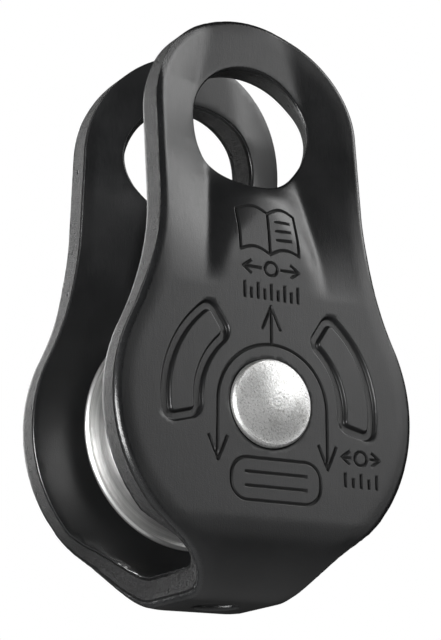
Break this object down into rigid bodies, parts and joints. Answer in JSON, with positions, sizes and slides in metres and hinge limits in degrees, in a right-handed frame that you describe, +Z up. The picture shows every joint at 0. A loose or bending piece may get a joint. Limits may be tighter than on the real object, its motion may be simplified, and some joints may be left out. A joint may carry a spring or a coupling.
{
  "type": "rope pulley",
  "caption": "Compact pulley block: folded aluminium side plates with a connector eye at the top and a grooved sheave turning on a riveted axle between them.",
  "frame": {"origin": "middle of the bridge's underside, straight below the axle", "axes": "+Z up from the bridge to the eye, +Y along the axle towards the rear plate, +X across the plates"},
  "size_m": [0.044, 0.0338, 0.0792],
  "materials": {
    "frame": "black anodised, satin",
    "sheave": "bright turned, fine circumferential lines",
    "bush": "self-lubricating liner, dark",
    "washer": "natural polymer, satin",
    "steel": "tumbled stainless, fine speckle"
  },
  "bodies": {
    "block": {"frame": "frame", "axle_rivet": "steel", "axle_sleeve": "steel"},
    "wheel": {"sheave": "sheave", "bush_front": "bush", "bush_rear": "bush"},
    "washer_front": {"thrust_washer_front": "washer"},
    "washer_rear": {"thrust_washer_rear": "washer"}
  },
  "joints": [
    {"name": "sheave_spin", "type": "hinge", "parent": "block", "child": "wheel", "pos_m": [0, 0, 0.0245], "axis": [0, 1, 0], "continuous": true},
    {"name": "washer_front_spin", "type": "hinge", "parent": "block", "child": "washer_front", "pos_m": [0, 0, 0.0245], "axis": [0, 1, 0], "continuous": true},
    {"name": "washer_rear_spin", "type": "hinge", "parent": "block", "child": "washer_rear", "pos_m": [0, 0, 0.0245], "axis": [0, 1, 0], "continuous": true}
  ]
}
